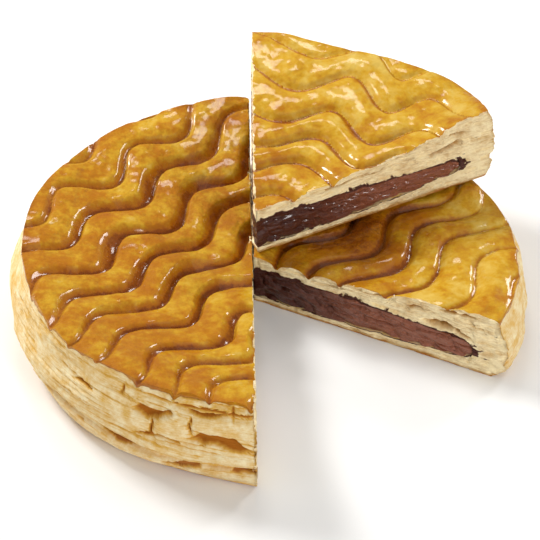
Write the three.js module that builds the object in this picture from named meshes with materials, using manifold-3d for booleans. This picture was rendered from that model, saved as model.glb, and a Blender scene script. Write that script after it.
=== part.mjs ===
// A galette des rois: a round puff pastry pie with a chocolate filling, scored on top with wavy
// lines and cut by three knife strokes. One half and one third-sized piece stay where they were
// baked, and the slice between them lies on top of the third-sized piece.
// Every piece is a top pastry, a layer of chocolate and a bottom pastry.
// Millimetres, +Z up. The galette is worked out round the centre of its base, and the finished
// model's origin is the middle of its footprint, on the table.
import * as THREE from "three";
import { mergeVertices } from "three/addons/utils/BufferGeometryUtils.js";
import Module from "manifold-3d";

// Driving dimensions of the uncut galette
const BASE_RADIUS = 120;
const SPREADS = [
  { heading: 0, width: 60, growth: 2.5 }, // it baked a little wider towards +X
  { heading: -80, width: 12, growth: 8 }, // bulged at one side of the slice
  { heading: -43, width: 16, growth: -7 }, // and drew in at the other; in degrees
];
const HEIGHT_AT_CENTRE = 28.5; // the heavy middle stays low
const DISH_POWER = 2.2; // how steeply the dished top climbs to the rim
const RIM_HEIGHT = 49.5; // the bare pastry round the filling puffs up
const RIM_DIP = 11.5; // the rim of the +X side puffs up this much less
const RIM_DIP_EDGES = [-0.15, 0.2]; // cosines of the headings where it starts and is full
const RIM_RIPPLES = [
  { count: 5, height: 0.6, turn: 0 },
  { count: 11, height: 0.4, turn: 1 },
];
const ROUND_OVER = 2.5; // how far the top curves down towards its edge
const ROUND_OVER_FROM = 0.9; // the share of the radius where that begins
const SIDE_BULGES = [
  { count: 3, depth: 0.7, slant: 9 },
  { count: 7, depth: 0.6, slant: -14 },
];
const SEAM_HEIGHT = 11; // where the top pastry sheet is sealed to the bottom one
const GAP = 0.3; // clearance kept between neighbouring pieces

// The chocolate layer
const FILLING_RADIUS = 107;
const FILLING_EDGE = 9; // radial length of its rounded edge
const CRUST_UNDER_FILLING = 4;
const FILLING_TOP = 20.5;
const FILLING_BOTTOM_CLIMB = 2.5; // its underside climbs this much on the way to its edge
const FILLING_TOP_FALL = 3.5; // and its top falls this much
const FILLING_RINGS = 5;
const FILLING_EDGE_STEPS = 6;

// The wavy score lines. Each has a distance across from the centre and a wave height.
const SCORE_HEADING = THREE.MathUtils.degToRad(50);
const SCORE_LINES = [
  [134, 6], [116, 6], [95.3, 6.8], [75.5, 5.5], [54.2, 6], [35.5, 5.2], [15.5, 5.2], [-5, 6],
  [-26, 6.5], [-42.5, 7], [-60, 6.5], [-81.5, 7.5], [-102, 7], [-122, 6], [-142, 6],
].map(([across, waveHeight]) => ({ across, waveHeight }));
const WAVE_LENGTH = 52;
const WAVE_START = 2;
const SCORE_DEPTH = 4.2;
const PILLOW_POWER = 3.5; // higher makes flatter pillows with narrower grooves between them
const SHALLOWER_AT_RIM = 0.55; // the share of the depth that is lost there
const FAN = 0.08; // the later lines run downhill by this share of their length
const FAN_FROM = 35; // distance across where that begins
const SAG_MIDDLE = -15; // along the lines, where the later ones sag and their waves come early
const SAG_LENGTH = 45;
const SAG_ACROSS = 0.07;
const SAG_ALONG = 0.2;

// The knife strokes meet a little off the centre
const CUT_POINT = new THREE.Vector2(-7, 0);
const KNIFE_WIDTH = 0.8;
const SLICE_FROM = THREE.MathUtils.degToRad(-90);
const SLICE_TO = THREE.MathUtils.degToRad(-23);
const HALF_FROM = THREE.MathUtils.degToRad(90);
const PIECE_SHIFT = THREE.MathUtils.degToRad(-4.5); // the third turned a little when it was cut

// How the slice lies on the third-sized piece
const SLICE_SLACK = 1.04; // it slackened by this factor once it was free of the rest
const SLICE_TURN = THREE.MathUtils.degToRad(112.5);
const SLICE_TIP = new THREE.Vector2(-5, 1.5);
const SLICE_RISE_BACK = THREE.MathUtils.degToRad(8.2);
const SLICE_RISE_RIGHT = THREE.MathUtils.degToRad(1.6);

// Fineness of the faceted surfaces
const ROUND_STEPS = 64;
const SECTOR_STEPS = 4;
const ALONG_SCORES = 40;
const PILLOW_ROWS = [0, 0.15, 0.38, 0.62, 0.85]; // shares of the way from one score to the next
const BLOCK_REACH = 138; // how far the scored block reaches from the centre along its lines
const BLOCK_BELOW = 5; // and below the base

const PASTRY = new THREE.MeshStandardMaterial({ color: 0xe3c488, roughness: 0.8 });
const GLAZED_PASTRY = new THREE.MeshStandardMaterial({ color: 0xc98a2b, roughness: 0.3 });
const CHOCOLATE = new THREE.MeshStandardMaterial({ color: 0x4a271d, roughness: 0.35 });

const wasm = await Module();
wasm.setup();

// ---- the shape of the whole galette -------------------------------------------------------

// Radius of the base at an angle round the galette: nearly a circle, spread a little by baking.
function baseRadius(angle) {
  let radius = BASE_RADIUS;
  for (const { heading, width, growth } of SPREADS) {
    const turned = THREE.MathUtils.radToDeg(angle) - heading;
    const away = THREE.MathUtils.euclideanModulo(turned + 180, 360) - 180;
    radius += growth * Math.exp(-((away / width) ** 2));
  }
  return radius;
}

// Height of the rim at an angle round the galette: high for most of the way, lower on one side.
function rimHeight(angle) {
  const dip = RIM_DIP * THREE.MathUtils.smoothstep(Math.cos(angle), ...RIM_DIP_EDGES);
  let height = RIM_HEIGHT - dip;
  for (const ripple of RIM_RIPPLES)
    height += ripple.height * Math.sin(ripple.count * angle + ripple.turn);
  return height;
}

// Height of the top between its score lines: a shallow dish that rounds over at the rim.
function dishHeight(x, y) {
  const angle = Math.atan2(y, x);
  const share = Math.hypot(x, y) / baseRadius(angle);
  const roundOver = (ROUND_OVER * Math.max(0, share - ROUND_OVER_FROM)) / (1 - ROUND_OVER_FROM);
  const climb = (rimHeight(angle) - HEIGHT_AT_CENTRE) * share ** DISH_POWER;
  return HEIGHT_AT_CENTRE + climb - roundOver;
}

// Where a score line runs, as a distance across at a distance along the lines' heading.
function scoreAcross({ across, waveHeight }, along) {
  const fan = FAN * THREE.MathUtils.clamp((FAN_FROM - across) / FAN_FROM, 0, 1);
  const sag = Math.min(across, 0) * Math.exp(-(((along - SAG_MIDDLE) / SAG_LENGTH) ** 2));
  const start = WAVE_START + SAG_ALONG * sag;
  const wave = waveHeight * Math.sin((2 * Math.PI * (along - start)) / WAVE_LENGTH);
  return across - fan * along + SAG_ACROSS * sag + wave;
}

// Depth below the dish at a share of the way from one score line to the next: a pillow.
function scoreDepth(share, x, y) {
  const fromMiddle = Math.abs(2 * share - 1);
  const towardsRim = (Math.hypot(x, y) / BASE_RADIUS) ** 4;
  return SCORE_DEPTH * fromMiddle ** PILLOW_POWER * (1 - SHALLOWER_AT_RIM * towardsRim);
}

// A tall block whose top is the scored surface. Its rows of vertices follow the score lines.
function scoredBlock() {
  const perPillow = PILLOW_ROWS.length;
  const rows = (SCORE_LINES.length - 1) * perPillow;
  const length = 2 * BLOCK_REACH;
  const block = new THREE.BoxGeometry(length, rows, 2, ALONG_SCORES, rows, 1);
  const position = block.attributes.position;
  const cos = Math.cos(SCORE_HEADING);
  const sin = Math.sin(SCORE_HEADING);
  for (let i = 0; i < position.count; i++) {
    const along = position.getX(i);
    const row = Math.round(rows / 2 - position.getY(i));
    const line = Math.min(Math.floor(row / perPillow), SCORE_LINES.length - 2);
    const share = row === rows ? 1 : PILLOW_ROWS[row % perPillow];
    const across = THREE.MathUtils.lerp(
      scoreAcross(SCORE_LINES[line], along),
      scoreAcross(SCORE_LINES[line + 1], along),
      share,
    );
    const x = along * cos - across * sin;
    const y = along * sin + across * cos;
    const top = dishHeight(x, y) - scoreDepth(share, x, y);
    position.setXYZ(i, x, y, position.getZ(i) > 0 ? top : -BLOCK_BELOW);
  }
  return solidFrom(block);
}

// The galette's side, its points as shares of the base radius and of the rim's height: a narrow
// foot, two bulging sheets with the seam between them, and a top edge that leans in. It is
// taller than the rim, because the scored block gives it its top.
function sideBody() {
  const sidePoints = [
    [0, 0], [0.985, 0], [1.0, 0.03], [1.024, 0.12], [1.032, 0.2], [1.02, 0.25], [1.034, 0.34],
    [1.03, 0.5], [1.012, 0.66], [0.995, 0.8], [0.975, 0.91], [0.955, 1.0], [0.94, 1.15], [0, 1.15],
  ].map(([radius, height]) => new THREE.Vector2(radius, height));
  const lathe = new THREE.LatheGeometry(sidePoints, ROUND_STEPS);
  lathe.rotateX(Math.PI / 2);
  const position = lathe.attributes.position;
  for (let i = 0; i < position.count; i++) {
    const x = position.getX(i);
    const y = position.getY(i);
    const height = position.getZ(i);
    const angle = Math.atan2(y, x);
    let radius = baseRadius(angle);
    for (const bulge of SIDE_BULGES)
      radius += bulge.depth * Math.sin(bulge.count * angle + bulge.slant * height);
    position.setXYZ(i, x * radius, y * radius, height * rimHeight(angle));
  }
  return solidFrom(lathe);
}

// The chocolate, or the room for it: a low lens with a rounded edge, grown by a margin all over.
function fillingBody(margin) {
  const inner = FILLING_RADIUS - FILLING_EDGE;
  const bottomAt = (share) => CRUST_UNDER_FILLING + FILLING_BOTTOM_CLIMB * share ** 3;
  const topAt = (share) => FILLING_TOP - FILLING_TOP_FALL * share ** 2;
  const middle = (bottomAt(1) + topAt(1)) / 2;
  const halfHeight = (topAt(1) - bottomAt(1)) / 2 + margin;
  const points = [];
  for (let i = 0; i <= FILLING_RINGS; i++) {
    const share = i / FILLING_RINGS;
    points.push(new THREE.Vector2(inner * share, bottomAt(share) - margin));
  }
  for (let i = 1; i < FILLING_EDGE_STEPS; i++) {
    const turn = (Math.PI * i) / FILLING_EDGE_STEPS - Math.PI / 2;
    const radius = inner + (FILLING_EDGE + margin) * Math.cos(turn);
    points.push(new THREE.Vector2(radius, middle + halfHeight * Math.sin(turn)));
  }
  for (let i = FILLING_RINGS; i >= 0; i--) {
    const share = i / FILLING_RINGS;
    points.push(new THREE.Vector2(inner * share, topAt(share) + margin));
  }
  const lathe = new THREE.LatheGeometry(points, ROUND_STEPS / 2);
  return solidFrom(lathe.rotateX(Math.PI / 2));
}

// ---- cutting it up ------------------------------------------------------------------------

// A tall prism over the sector between two angles at the cut point, half a knife's width inside
// both cuts.
function sectorPrism(from, to) {
  const middle = (from + to) / 2;
  const pullBack = KNIFE_WIDTH / 2 / Math.sin((to - from) / 2);
  const tip = new THREE.Vector2(Math.cos(middle), Math.sin(middle))
    .multiplyScalar(pullBack)
    .add(CUT_POINT);
  const reach = 3 * BASE_RADIUS;
  const outline = [tip];
  for (let i = 0; i <= SECTOR_STEPS; i++) {
    const angle = from + ((to - from) * i) / SECTOR_STEPS;
    const corner = new THREE.Vector2(Math.cos(angle), Math.sin(angle)).multiplyScalar(reach);
    outline.push(corner.add(tip));
  }
  const prism = new THREE.ExtrudeGeometry(new THREE.Shape(outline), {
    depth: 4 * RIM_HEIGHT,
    bevelEnabled: false,
  });
  return solidFrom(prism.translate(0, 0, -RIM_HEIGHT));
}

// A flat slab wider than the galette, for parting the two pastry sheets.
function slab(bottom, top) {
  const side = 3 * BASE_RADIUS;
  const box = new THREE.BoxGeometry(side, side, top - bottom);
  return solidFrom(box.translate(0, 0, (bottom + top) / 2));
}

// ---- between three.js geometry and solids -------------------------------------------------

function solidFrom(geometry) {
  const bare = geometry.clone();
  bare.deleteAttribute("normal");
  bare.deleteAttribute("uv");
  const merged = mergeVertices(bare, 1e-3);
  return new wasm.Manifold(
    new wasm.Mesh({
      numProp: 3,
      vertProperties: merged.attributes.position.array,
      triVerts: new Uint32Array(merged.index.array),
    }),
  );
}

function meshFrom(name, solid, material) {
  const { numProp, vertProperties, triVerts } = solid.getMesh();
  const geometry = new THREE.BufferGeometry();
  const positions = new THREE.BufferAttribute(new Float32Array(vertProperties), numProp);
  geometry.setAttribute("position", positions);
  geometry.setIndex(new THREE.BufferAttribute(new Uint32Array(triVerts), 1));
  const mesh = new THREE.Mesh(geometry, material);
  mesh.name = name;
  return mesh;
}

// ---- putting the pieces in their places ---------------------------------------------------

const whole = scoredBlock().intersect(sideBody());
const room = fillingBody(GAP);
const layers = {
  bottom_pastry: {
    solid: whole.intersect(slab(-1, SEAM_HEIGHT - GAP / 2)).subtract(room),
    material: PASTRY,
  },
  chocolate: { solid: fillingBody(0), material: CHOCOLATE },
  top_pastry: {
    solid: whole.intersect(slab(SEAM_HEIGHT + GAP / 2, 3 * RIM_HEIGHT)).subtract(room),
    material: GLAZED_PASTRY,
  },
};

// The three layers of one sector, named after it, in a group that stands at the cut point.
function cutPiece(name, from, to) {
  const sector = sectorPrism(from, to);
  const group = new THREE.Group();
  for (const [layer, { solid, material }] of Object.entries(layers)) {
    const mesh = meshFrom(`${name}_${layer}`, solid.intersect(sector), material);
    mesh.position.set(-CUT_POINT.x, -CUT_POINT.y, 0);
    group.add(mesh);
  }
  group.position.set(CUT_POINT.x, CUT_POINT.y, 0);
  return group;
}

// Height of the third-sized piece's top under a point, before its score lines are pressed in,
// or the table past its edges.
function thirdHeight(x, y) {
  const point = new THREE.Vector2(x, y).rotateAround(CUT_POINT, -PIECE_SHIFT);
  const heading = Math.atan2(point.y - CUT_POINT.y, point.x - CUT_POINT.x);
  const outside = heading > HALF_FROM || point.length() > BASE_RADIUS;
  return outside ? 0 : dishHeight(point.x, point.y);
}

// Lays the slice on the dished top beneath it: turned and tilted, and just clear of the highest
// pillow under its base.
function layOnTop(slice) {
  const tilt = new THREE.Euler(SLICE_RISE_BACK, -SLICE_RISE_RIGHT, 0);
  const turn = new THREE.Quaternion().setFromAxisAngle(new THREE.Vector3(0, 0, 1), SLICE_TURN);
  slice.quaternion.setFromEuler(tilt).multiply(turn);
  slice.scale.setScalar(SLICE_SLACK);
  const step = 3; // between the points tried
  const base = new THREE.Vector3();
  let lift = 0;
  for (let radius = step; radius < BASE_RADIUS; radius += step)
    for (let angle = SLICE_FROM; angle <= SLICE_TO; angle += step / BASE_RADIUS) {
      base.set(radius * Math.cos(angle), radius * Math.sin(angle), 0);
      base.applyQuaternion(slice.quaternion);
      const under = thirdHeight(base.x + SLICE_TIP.x, base.y + SLICE_TIP.y);
      lift = Math.max(lift, under - base.z);
    }
  slice.position.set(SLICE_TIP.x, SLICE_TIP.y, lift + GAP);
  return slice;
}

const half = cutPiece("half", HALF_FROM, HALF_FROM + Math.PI);
const third = cutPiece("third", SLICE_TO, HALF_FROM);
third.rotation.z = PIECE_SHIFT;
const slice = layOnTop(cutPiece("slice", SLICE_FROM, SLICE_TO));

const pieces = new THREE.Group();
pieces.add(half, third, slice);
const footprint = new THREE.Box3().setFromObject(pieces, true).getCenter(new THREE.Vector3());
pieces.position.set(-footprint.x, -footprint.y, 0);

const galette = new THREE.Group();
galette.add(pieces);
export default galette;
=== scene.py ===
"""A galette des rois cut in three: a half, a third, and the slice from between them, which lies
on the third. Each is a glazed top pastry, a layer of chocolate and a bottom pastry.

Lengths in this script are millimetres in the frame of the uncut galette, whose base is centred
on the origin. Properties and finished meshes are in metres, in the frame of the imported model.
"""

from itertools import product
from math import cos, pi, radians, sin

import bpy
import numpy as np
from mathutils import Matrix, Vector


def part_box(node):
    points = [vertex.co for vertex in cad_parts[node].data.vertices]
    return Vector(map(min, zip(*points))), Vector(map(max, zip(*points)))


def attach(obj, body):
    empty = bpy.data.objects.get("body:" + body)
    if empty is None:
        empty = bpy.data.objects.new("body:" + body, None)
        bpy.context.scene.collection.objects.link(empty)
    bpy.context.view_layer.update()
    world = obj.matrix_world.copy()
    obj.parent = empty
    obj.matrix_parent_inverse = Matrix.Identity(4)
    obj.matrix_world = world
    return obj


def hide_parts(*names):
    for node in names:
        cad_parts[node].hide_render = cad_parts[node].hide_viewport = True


bl_info = {
    "name": "Galette des rois",
    "version": (1, 0, 0),
    "blender": (4, 5, 0),
    "location": "3D View > Sidebar > Galette",
    "description": "Builds a cut chocolate galette des rois round its packed solids",
    "category": "Add Mesh",
}

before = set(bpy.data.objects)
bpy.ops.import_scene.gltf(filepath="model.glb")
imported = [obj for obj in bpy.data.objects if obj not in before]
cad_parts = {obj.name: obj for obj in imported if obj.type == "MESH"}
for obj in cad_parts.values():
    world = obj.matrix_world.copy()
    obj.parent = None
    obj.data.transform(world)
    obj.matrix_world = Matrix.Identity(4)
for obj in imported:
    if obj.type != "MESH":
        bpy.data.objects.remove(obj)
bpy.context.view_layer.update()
MM = 0.001
NEARLY = 1e-6  # a share this close to 0 or 1 is at the end

# The galette as it was baked. Angles are in degrees round its centre.
SPREADS = [(0, 60, 2.5), (-80, 12, 8), (-43, 16, -7)]  # heading, width, growth
DISH_POWER = 2.2
RIM_DIP = 11.5
RIM_DIP_FROM, RIM_DIP_TO = -0.15, 0.2  # cosines of the headings where the dip starts and is full
RIM_RIPPLES = [(5, 0.6, 0), (11, 0.4, 1)]  # count, height, turn in radians
ROUND_OVER = 2.5
ROUND_OVER_FROM = 0.9
SIDE_BULGES = [(3, 0.7, 9), (7, 0.6, -14)]  # count, depth, slant in radians over the rim height
SIDE_PROFILE = [  # share of the base radius at a share of the rim height
    (0.985, 0), (1.0, 0.03), (1.024, 0.12), (1.032, 0.2), (1.02, 0.25), (1.034, 0.34),
    (1.03, 0.5), (1.012, 0.66), (0.995, 0.8), (0.975, 0.91), (0.955, 1.0), (0.94, 1.15),
]
SEAM_HEIGHT = 11
SEAM_WANDER = 0.9

# The chocolate, whose climb and fall towards the rim each sector gives
FILLING_RADIUS = 107
FILLING_EDGE = 9
FILLING_BLUNTNESS = 2.6  # 2 gives it a round end, and more a squarer one
DRAGGED_REACH, DRAGGED_HALF = 4.5, 3.6  # how far past its end the knife dragged it, and how high

# The wavy score lines, from the far side to the near one: distance across, wave height
SCORE_HEADING = radians(50)
SCORE_LINES = [
    (134, 6), (116, 6), (95.3, 6.8), (75.5, 5.5), (54.2, 6), (35.5, 5.2), (15.5, 5.2), (-5, 6),
    (-26, 6.5), (-42.5, 7), (-60, 6.5), (-81.5, 7.5), (-102, 7), (-122, 6), (-142, 6),
]
WAVE_LENGTH = 52
WAVE_START = 2
FAN = 0.08
FAN_FROM = 35
SAG_MIDDLE, SAG_LENGTH = -15, 45
SAG_ACROSS, SAG_ALONG = 0.07, 0.2
SCORE_NARROWING = 0.55  # the share of a line's width that is lost towards the rim
SCORE_WANDER = 0.45  # the share of its width that comes and goes along it
SCORE_FADE = 0.6  # the share of its depth that is lost towards the rim
PILLOW_HALF = 10  # half the usual distance between two lines
LIP_WIDTH = 1.9
ROUND_SHARE = 0.34  # of a line's depth, how much is the rounding of the bands
LUMPS = [(7, 17, 0.7), (8, 7, 0.42), (9, 2.6, 0.12)]  # seed, size and height

# The cuts meet at one point, and each leaves a gap
CUT_POINT = Vector((-7, 0, 0))
KNIFE_WIDTH = 0.8

# How the third is turned, and how the slice lies on it
SLICE_SLACK = 1.04
SLICE_TURN = radians(112.5)
SLICE_TIP = (-5, 1.5)
SLICE_RISE_BACK = radians(8.2)
SLICE_RISE_RIGHT = radians(1.6)
SLICE_LEAN = 2.2  # how far the foot of its far cut stands out, where the knife leaned over
LEAN_HEIGHT = 40
THIRD_TURN = radians(-4.5)

# The meshes
MOST_CUTS = 100  # in one subdivision of an edge
COARSE = 10  # how many vertices of a hidden face come together
MERGE_WITHIN = 1e-6  # metres
SMOOTH_UNDER = radians(62)


# ---- properties ----


def linear(hex_value):
    """The linear red, green, blue and alpha of an sRGB colour written as hex digits."""
    channels = [int(hex_value[i : i + 2], 16) / 255 for i in (0, 2, 4)]
    bent = [c / 12.92 if c < 0.04045 else ((c + 0.055) / 1.055) ** 2.4 for c in channels]
    return (*bent, 1.0)


def length_property(name, description, default_mm):
    return bpy.props.FloatProperty(
        name=name, description=description, default=default_mm * MM, unit="LENGTH"
    )


def colour_property(name, description, hex_value):
    colour = {"default": linear(hex_value), "size": 4, "subtype": "COLOR", "min": 0, "max": 1}
    return bpy.props.FloatVectorProperty(name=name, description=description, **colour)


class GaletteSizes(bpy.types.PropertyGroup):
    base_radius: length_property("Base radius", "Radius of the base before it spread", 120)
    centre_height: length_property("Centre height", "Height of the top at the centre", 28.5)
    rim_height: length_property("Rim height", "Height of the puffed rim", 49.5)
    score_depth: length_property("Score depth", "Depth of the wavy score lines", 4.2)
    score_width: length_property("Score width", "Width of the slope into a score line", 6.5)
    crust_under: length_property("Crust under filling", "Bottom pastry at the centre", 4)
    filling_top: length_property("Filling top", "Height of the chocolate at the centre", 20.5)


class GaletteColours(bpy.types.PropertyGroup):
    straw: colour_property("Straw glaze", "Egg wash where it browned least", "D6B250")
    gold: colour_property("Gold glaze", "Egg wash on the tops of the pillows", "CA9A22")
    amber: colour_property("Amber glaze", "Egg wash where it browned more", "B4740C")
    caramel: colour_property("Caramel", "Egg wash on the way down into the lines", "A8620A")
    burnt: colour_property("Deep caramel", "The bottom of the lines", "8E4A08")
    pale: colour_property("Pale pastry", "Bare pastry that stayed pale", "F4E6BE")
    baked: colour_property("Baked pastry", "Bare pastry as most of it baked", "DBAA4C")
    # Browned pastry at the foot, and the painted shade in tears, cracks, under sheet lips and in
    # cut gaps
    brown_and_painted_shade: colour_property("Browned pastry", "Bare pastry in tears and at the foot", "B06C22")
    crumb: colour_property("Crumb", "The cut faces of the pastry", "FEEBBC")
    # Darker crumb, and the painted shade in the gaps between the cut leaves
    darker_crumb_and_painted_shade: colour_property("Crumb shade", "Between the cut layers", "C69A54")
    dark_chocolate: colour_property("Dark chocolate", "The filling near the centre", "4A1C0E")
    milk_chocolate: colour_property("Milk chocolate", "The filling near the rim", "98583E")


# ---- noise ----

# Numbers without a pattern, which scatter the corners of the cells
SCATTER_SEED, SCATTER = 17.23, 43758.5453
SCATTER_AXES = (12.9898, 78.233, 37.719)


def noise(seed, *coordinates):
    """Smooth noise from -1 to 1 over coordinates given in cells."""
    points = np.stack(np.broadcast_arrays(*coordinates)).astype(float)
    low_corner = np.floor(points)
    into = points - low_corner
    into = into * into * (3 - 2 * into)
    total = 0
    for corner in product((0, 1), repeat=len(points)):
        key = seed * SCATTER_SEED
        weight = 1.0
        for axis, step in enumerate(corner):
            key = key + (low_corner[axis] + step) * SCATTER_AXES[axis]
            weight = weight * (into[axis] if step else 1 - into[axis])
        total = total + weight * ((np.sin(key) * SCATTER) % 1)
    return 2 * total - 1


def smoothstep(value, low, high):
    share = np.clip((value - low) / (high - low), 0, 1)
    return share * share * (3 - 2 * share)


# ---- the shape of the whole galette ----


class Galette:
    """The baked shape, as functions of places in the uncut galette."""

    def __init__(self, sizes):
        self.radius = sizes.base_radius / MM
        self.centre_height = sizes.centre_height / MM
        self.rim = sizes.rim_height / MM
        self.score_depth = sizes.score_depth / MM
        self.score_width = sizes.score_width / MM
        self.crust_under = sizes.crust_under / MM
        self.filling_top = sizes.filling_top / MM

    def base_radius(self, heading):
        radius = np.full_like(heading, self.radius)
        for middle, width, growth in SPREADS:
            away = (np.degrees(heading) - middle + 180) % 360 - 180
            radius += growth * np.exp(-((away / width) ** 2))
        return radius

    def rim_height(self, heading):
        height = self.rim - RIM_DIP * smoothstep(np.cos(heading), RIM_DIP_FROM, RIM_DIP_TO)
        for count, ripple, turn in RIM_RIPPLES:
            height = height + ripple * np.sin(count * heading + turn)
        return height

    def side_radius(self, heading, z):
        rim = self.rim_height(heading)
        shares, heights = zip(*SIDE_PROFILE)
        radius = np.interp(z / rim, heights, shares)
        bulge = sum(
            depth * np.sin(count * heading + slant * z / rim)
            for count, depth, slant in SIDE_BULGES
        )
        return radius * (self.base_radius(heading) + bulge)

    def dish_height(self, x, y):
        heading = np.arctan2(y, x)
        share = np.hypot(x, y) / self.base_radius(heading)
        over = ROUND_OVER * np.clip(share - ROUND_OVER_FROM, 0, None) / (1 - ROUND_OVER_FROM)
        climb = (self.rim_height(heading) - self.centre_height) * share**DISH_POWER
        return self.centre_height + climb - over

    def scores(self, x, y):
        """The distance back to the line on the far side, and on to the line on the near side."""
        along = x * cos(SCORE_HEADING) + y * sin(SCORE_HEADING)
        across = y * cos(SCORE_HEADING) - x * sin(SCORE_HEADING)
        lines = np.stack([score_across(line, along) for line in SCORE_LINES])
        slopes = np.stack([score_across(line, along + 1) for line in SCORE_LINES]) - lines
        above = np.clip((lines > across).sum(0) - 1, 0, len(SCORE_LINES) - 2)
        upper = np.take_along_axis(lines, above[None], 0)[0]
        lower = np.take_along_axis(lines, above[None] + 1, 0)[0]
        slope = np.take_along_axis(slopes, above[None], 0)[0]
        steep = np.hypot(1, slope)
        return np.abs(upper - across) / steep, np.abs(across - lower) / steep

    def groove(self, x, y, width_factor):
        """Depth below the dish, and how far down a groove's slope a point is, from 0 to 1. The
        knife slants, so a band slopes down to the next line, whose other side is a steep lip."""
        out = np.hypot(x, y) / self.radius
        behind, ahead = self.scores(x, y)
        narrow = 1 - SCORE_NARROWING * smoothstep(out, 0.55, 0.95)
        wander = 1 + SCORE_WANDER * noise(3, x / 20, y / 20)
        width = self.score_width * narrow * wander * width_factor
        depth = self.score_depth * (1 - SCORE_FADE * out**4) * (0.9 + 0.35 * wander * narrow)
        depth = depth * np.sqrt(width_factor)
        slope = 1 - smoothstep(ahead / width, 0.12, 1)
        lip = 1 - smoothstep(behind * width_factor / LIP_WIDTH, 0, 1)
        crown = np.clip(1 - np.minimum(behind, ahead) / PILLOW_HALF, 0, 1) ** 2
        round_share = ROUND_SHARE / width_factor
        return depth * ((0.95 - round_share) * np.maximum(slope, lip) + round_share * crown), slope

    def top(self, x, y, width_factor):
        depth, _ = self.groove(x, y, width_factor)
        lumps = sum(height * noise(seed, x / size, y / size) for seed, size, height in LUMPS)
        return self.dish_height(x, y) - depth + lumps - 0.3

    def seam(self, x, y):
        """The height where the two pastries meet outside the chocolate."""
        height = SEAM_HEIGHT + SEAM_WANDER * noise(11, x / 37, y / 37)
        return height + 0.35 * noise(12, x / 9, y / 9)

    def filling(self, x, y, profile):
        """The chocolate's underside and top, which meet at its rounded edge, and whether a
        point lies over it."""
        climb, fall = profile
        radius = np.hypot(x, y)
        inner = FILLING_RADIUS - FILLING_EDGE
        share = np.clip(radius / inner, 0, 1)
        low = self.crust_under + climb * share**3
        high = self.filling_top - fall * share**2
        edge = np.clip((radius - inner) / FILLING_EDGE, 0, 1)
        closing = (1 - edge**FILLING_BLUNTNESS) ** (1 / FILLING_BLUNTNESS)
        middle, half = (low + high) / 2, (high - low) / 2
        return middle - half * closing, middle + half * closing, radius < FILLING_RADIUS


def dragged(galette, sector, places):
    """How much chocolate the knife dragged past the end of the filling, from 0 to 1."""
    x, y, z = places.T
    low, high, _ = galette.filling(x, y, sector.filling)
    past = (np.hypot(x, y) - FILLING_RADIUS) / DRAGGED_REACH
    away = np.hypot(past, (z - (low + high) / 2) / DRAGGED_HALF)
    frayed = 1 + 0.7 * noise(55, (x - y) / 2.5, z / 1.1)
    return np.clip(1.3 - away * frayed, 0, 1)


def score_across(line, along):
    """How far across a score line lies, at places along it."""
    across, wave_height = line
    fan = FAN * min(max((FAN_FROM - across) / FAN_FROM, 0), 1)
    sag = min(across, 0) * np.exp(-(((along - SAG_MIDDLE) / SAG_LENGTH) ** 2))
    start = WAVE_START + SAG_ALONG * sag
    wave = wave_height * np.sin(2 * pi * (along - start) / WAVE_LENGTH)
    return across - fan * along + SAG_ACROSS * sag + wave


# ---- the sectors ----


class Sector:
    """One cut piece: its angles at the cut point, how finely it is divided, how wide its score
    lines are, how its filling climbs and falls, its place, and how far its last cut leans."""

    def __init__(self, name, start, end, columns, rings, width_factor, filling, place, lean=0):
        self.name = name
        self.start, self.end = radians(start), radians(end)
        self.columns, self.rings = columns, rings
        self.width_factor = width_factor
        self.filling = filling
        self.place = place
        self.lean = lean
        middle = (self.start + self.end) / 2
        pull_back = KNIFE_WIDTH / 2 / sin((self.end - self.start) / 2)
        self.tip = CUT_POINT + pull_back * Vector((cos(middle), sin(middle), 0))

    def heading(self, x, y):
        """The heading of places round the galette's centre, unbroken across the sector."""
        middle = (self.start + self.end) / 2
        across = y * cos(middle) - x * sin(middle)
        return middle + np.arctan2(across, x * cos(middle) + y * sin(middle))


def model_offset():
    """From the uncut galette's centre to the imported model's origin, from the half's chocolate:
    its flat side lies half a knife's width behind the cut, and it is as long on both sides."""
    low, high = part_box("half_chocolate")
    flat_side = CUT_POINT.x - KNIFE_WIDTH / 2
    return Vector((high.x / MM - flat_side, (low.y + high.y) / 2 / MM, 0))


def sectors():
    """The half, the third, and the slice that rests at the height of its CAD solid."""
    offset = Matrix.Translation(model_offset())
    from_cut = Matrix.Translation(-CUT_POINT)
    to_cut = Matrix.Translation(CUT_POINT)
    turn = to_cut @ Matrix.Rotation(THIRD_TURN, 4, "Z") @ from_cut
    tilt = Matrix.Rotation(SLICE_RISE_BACK, 4, "X") @ Matrix.Rotation(-SLICE_RISE_RIGHT, 4, "Y")
    lying = tilt @ Matrix.Rotation(SLICE_TURN, 4, "Z") @ Matrix.Scale(SLICE_SLACK, 4) @ from_cut
    half = Sector("half", 90, 270, 400, 136, 1.0, (2.5, 3.5), offset)
    third = Sector("third", -23, 90, 300, 150, 0.65, (2.5, 3.5), offset @ turn)
    cut_slice = Sector("slice", -90, -23, 200, 160, 0.6, (5.0, 3.0), lying, SLICE_LEAN)
    lowest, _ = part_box("slice_bottom_pastry")
    lift = lowest.z / MM - (lying @ cut_slice.tip).z
    cut_slice.place = offset @ Matrix.Translation((*SLICE_TIP, lift)) @ lying
    return half, third, cut_slice


# ---- a divided block, laid over a sector ----


def deselect_all():
    if bpy.context.object and bpy.context.object.mode != "OBJECT":
        bpy.ops.object.mode_set(mode="OBJECT")
    bpy.ops.object.select_all(action="DESELECT")


def read_vectors(elements, key):
    """A vector of every vertex or face of a mesh."""
    values = np.empty(len(elements) * 3)
    elements.foreach_get(key, values)
    return values.reshape(-1, 3)


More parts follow.
